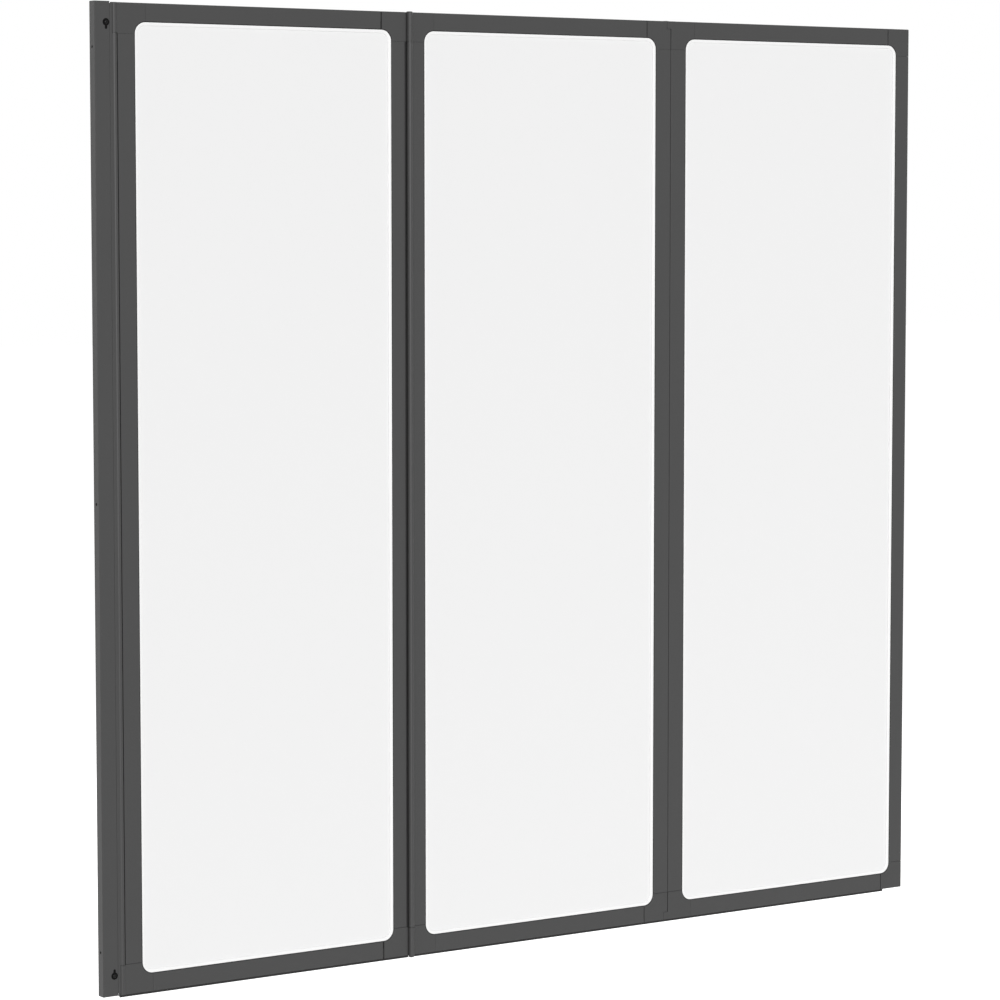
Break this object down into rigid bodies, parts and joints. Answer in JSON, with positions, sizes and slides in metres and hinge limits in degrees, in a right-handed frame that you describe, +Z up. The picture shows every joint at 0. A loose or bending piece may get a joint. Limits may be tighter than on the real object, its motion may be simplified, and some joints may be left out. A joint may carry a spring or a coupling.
{
  "type": "folding bath screen",
  "caption": "Framed folding bath screen with frosted panes, hinged to a wall channel and between its panels, with drip seals along the bottom.",
  "frame": {"origin": "centre of the wall channel's wall face, at the middle fixing hole", "axes": "+X from the wall along the opened screen, +Y to the rear, +Z up; the front faces -Y"},
  "size_m": [1.27, 0.021, 1.21],
  "materials": {
    "anthracite_powder_coat": "fine matt powder coat on aluminium extrusion",
    "anthracite_plastic": "moulded, matt",
    "frosted_pane": "frosted translucent sheet",
    "white_gasket": "soft white strip",
    "dark_seal": "soft dark strip",
    "bush_plastic": "moulded bearing plastic",
    "black_fixing": "black",
    "steel_fixing": "plain steel"
  },
  "bodies": {
    "wall_channel": {"wall_channel": "anthracite_powder_coat", "channel_top_cap": "anthracite_plastic", "channel_bottom_cap": "anthracite_plastic", "clamp_screws": "black_fixing", "clamp_washers": "black_fixing", "clamp_plates": "steel_fixing"},
    "adjusting_profile": {"adjusting_profile": "anthracite_powder_coat", "wall_hinge_bushes": "bush_plastic"},
    "panel_1": {"panel_1_bottom_left_corner": "anthracite_plastic", "panel_1_bottom_rail": "anthracite_powder_coat", "panel_1_bottom_right_corner": "anthracite_plastic", "panel_1_corner_screws": "steel_fixing", "panel_1_drip_seal": "dark_seal", "panel_1_gasket": "white_gasket", "panel_1_glazing_bed": "dark_seal", "panel_1_left_stile": "anthracite_powder_coat", "panel_1_pane": "frosted_pane", "panel_1_right_stile": "anthracite_powder_coat", "panel_1_top_left_corner": "anthracite_plastic", "panel_1_top_rail": "anthracite_powder_coat", "panel_1_top_right_corner": "anthracite_plastic", "wall_hinge_pins": "steel_fixing", "fold_1_hinge_pins": "steel_fixing", "wall_gap_seal": "dark_seal"},
    "panel_2": {"panel_2_bottom_left_corner": "anthracite_plastic", "panel_2_bottom_rail": "anthracite_powder_coat", "panel_2_bottom_right_corner": "anthracite_plastic", "panel_2_corner_screws": "steel_fixing", "panel_2_drip_seal": "dark_seal", "panel_2_gasket": "white_gasket", "panel_2_glazing_bed": "dark_seal", "panel_2_left_stile": "anthracite_powder_coat", "panel_2_pane": "frosted_pane", "panel_2_right_stile": "anthracite_powder_coat", "panel_2_top_left_corner": "anthracite_plastic", "panel_2_top_rail": "anthracite_powder_coat", "panel_2_top_right_corner": "anthracite_plastic", "fold_1_hinge_bushes": "bush_plastic", "fold_1_gap_seal": "dark_seal", "fold_2_hinge_pins": "steel_fixing"},
    "panel_3": {"panel_3_bottom_left_corner": "anthracite_plastic", "panel_3_bottom_rail": "anthracite_powder_coat", "panel_3_bottom_right_corner": "anthracite_plastic", "panel_3_corner_screws": "steel_fixing", "panel_3_drip_seal": "dark_seal", "panel_3_gasket": "white_gasket", "panel_3_glazing_bed": "dark_seal", "panel_3_left_stile": "anthracite_powder_coat", "panel_3_pane": "frosted_pane", "panel_3_right_stile": "anthracite_powder_coat", "panel_3_top_left_corner": "anthracite_plastic", "panel_3_top_rail": "anthracite_powder_coat", "panel_3_top_right_corner": "anthracite_plastic", "fold_2_hinge_bushes": "bush_plastic", "fold_2_gap_seal": "dark_seal"}
  },
  "joints": [
    {"name": "adjusting_slide", "type": "slide", "parent": "wall_channel", "child": "adjusting_profile", "axis": [1, 0, 0], "range_m": [0, 0.008]},
    {"name": "wall_hinge", "type": "hinge", "parent": "adjusting_profile", "child": "panel_1", "pos_m": [0.0272, -0.0035, 0], "axis": [0, 0, -1], "range_deg": [0, 90]},
    {"name": "fold_hinge_1", "type": "hinge", "parent": "panel_1", "child": "panel_2", "pos_m": [0.446, -0.0065, 0], "axis": [0, 0, -1], "range_deg": [0, 175]},
    {"name": "fold_hinge_2", "type": "hinge", "parent": "panel_2", "child": "panel_3", "pos_m": [0.858, 0.0065, 0], "axis": [0, 0, 1], "range_deg": [0, 175]}
  ]
}
